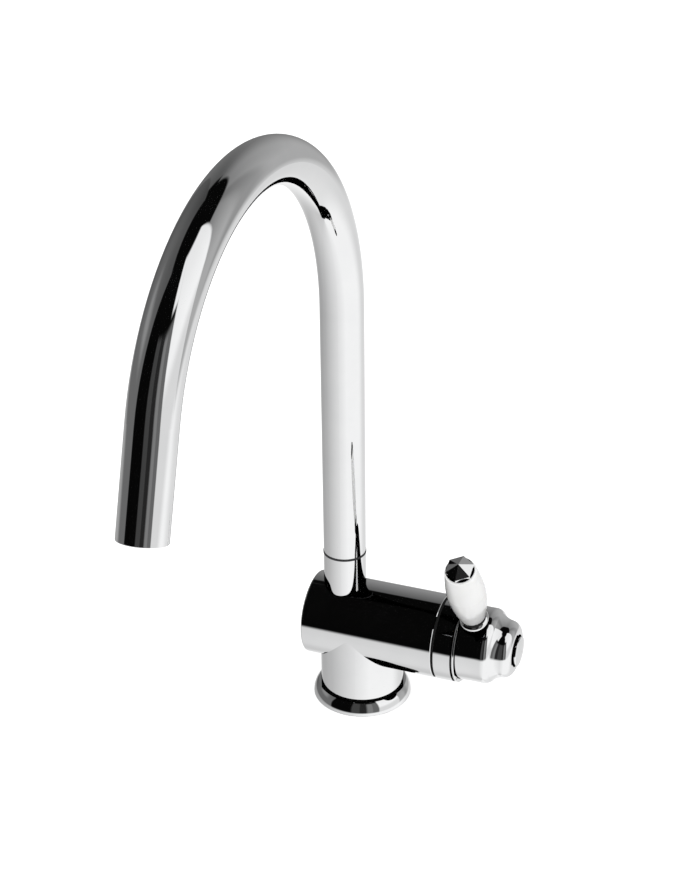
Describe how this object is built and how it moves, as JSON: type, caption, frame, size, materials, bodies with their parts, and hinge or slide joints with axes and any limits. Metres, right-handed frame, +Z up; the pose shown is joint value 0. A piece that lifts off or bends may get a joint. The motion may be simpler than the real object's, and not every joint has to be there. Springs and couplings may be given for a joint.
{
  "type": "filtered water kitchen tap",
  "caption": "Deck-mounted kitchen tap with a swan-neck swivel spout over a horizontal barrel, and a side lever with a white ceramic grip that selects cold, hot or filtered water.",
  "frame": {"origin": "centre of the column on the deck surface", "axes": "+Z up, spout forward along -Y, handle at the +X end of the barrel"},
  "size_m": [0.1289, 0.2857, 0.4367],
  "materials": {
    "chrome": "polished",
    "rubber": "matt",
    "black_plastic": "satin",
    "steel": "plated",
    "black_steel": "blackened",
    "white_plastic": "moulded",
    "brass": "machined",
    "disc_ceramic": "lapped",
    "glazed_grip": "gloss white glaze",
    "tube_plastic": "smooth",
    "grey_plastic": "moulded"
  },
  "bodies": {
    "base": {"base_flange": "chrome", "base_gasket": "rubber", "column_seal": "rubber", "body": "chrome", "glide_ring": "black_plastic", "spout_retaining_screw": "steel", "tube_seal_ring": "rubber", "inlet_valves": "white_plastic", "threaded_shank": "brass", "shank_gasket": "rubber", "clamp_washer": "steel", "clamp_nut": "brass", "cover_ring": "chrome", "cover_ring_seal": "rubber", "cartridge_nut": "brass", "cartridge_housing": "white_plastic", "cartridge_seals": "rubber", "fixed_disc": "disc_ceramic"},
    "spout": {"spout_tube": "chrome", "swivel_insert": "brass", "swivel_orings": "rubber", "filtered_water_tube": "tube_plastic", "aerator_housing": "chrome", "aerator_insert": "grey_plastic", "aerator_washer": "rubber"},
    "handle": {"handle_hub": "chrome", "handle_screw": "steel", "handle_grub_screw": "black_steel", "end_button": "chrome", "cartridge_stem": "brass", "stem_seal": "rubber", "moving_disc": "disc_ceramic", "lever_collar": "chrome", "grip_washer": "rubber", "lever_stud": "steel", "lever_grip": "glazed_grip", "lever_cap": "chrome"}
  },
  "joints": [
    {"name": "spout_swivel", "type": "hinge", "parent": "base", "child": "spout", "pos_m": [-0.0105, 0, 0.0955], "axis": [0, 0, 1], "range_deg": [-150, 150]},
    {"name": "handle_turn", "type": "hinge", "parent": "base", "child": "handle", "pos_m": [0.0644, 0, 0.0503], "axis": [1, 0, 0], "range_deg": [-60, 60]}
  ]
}
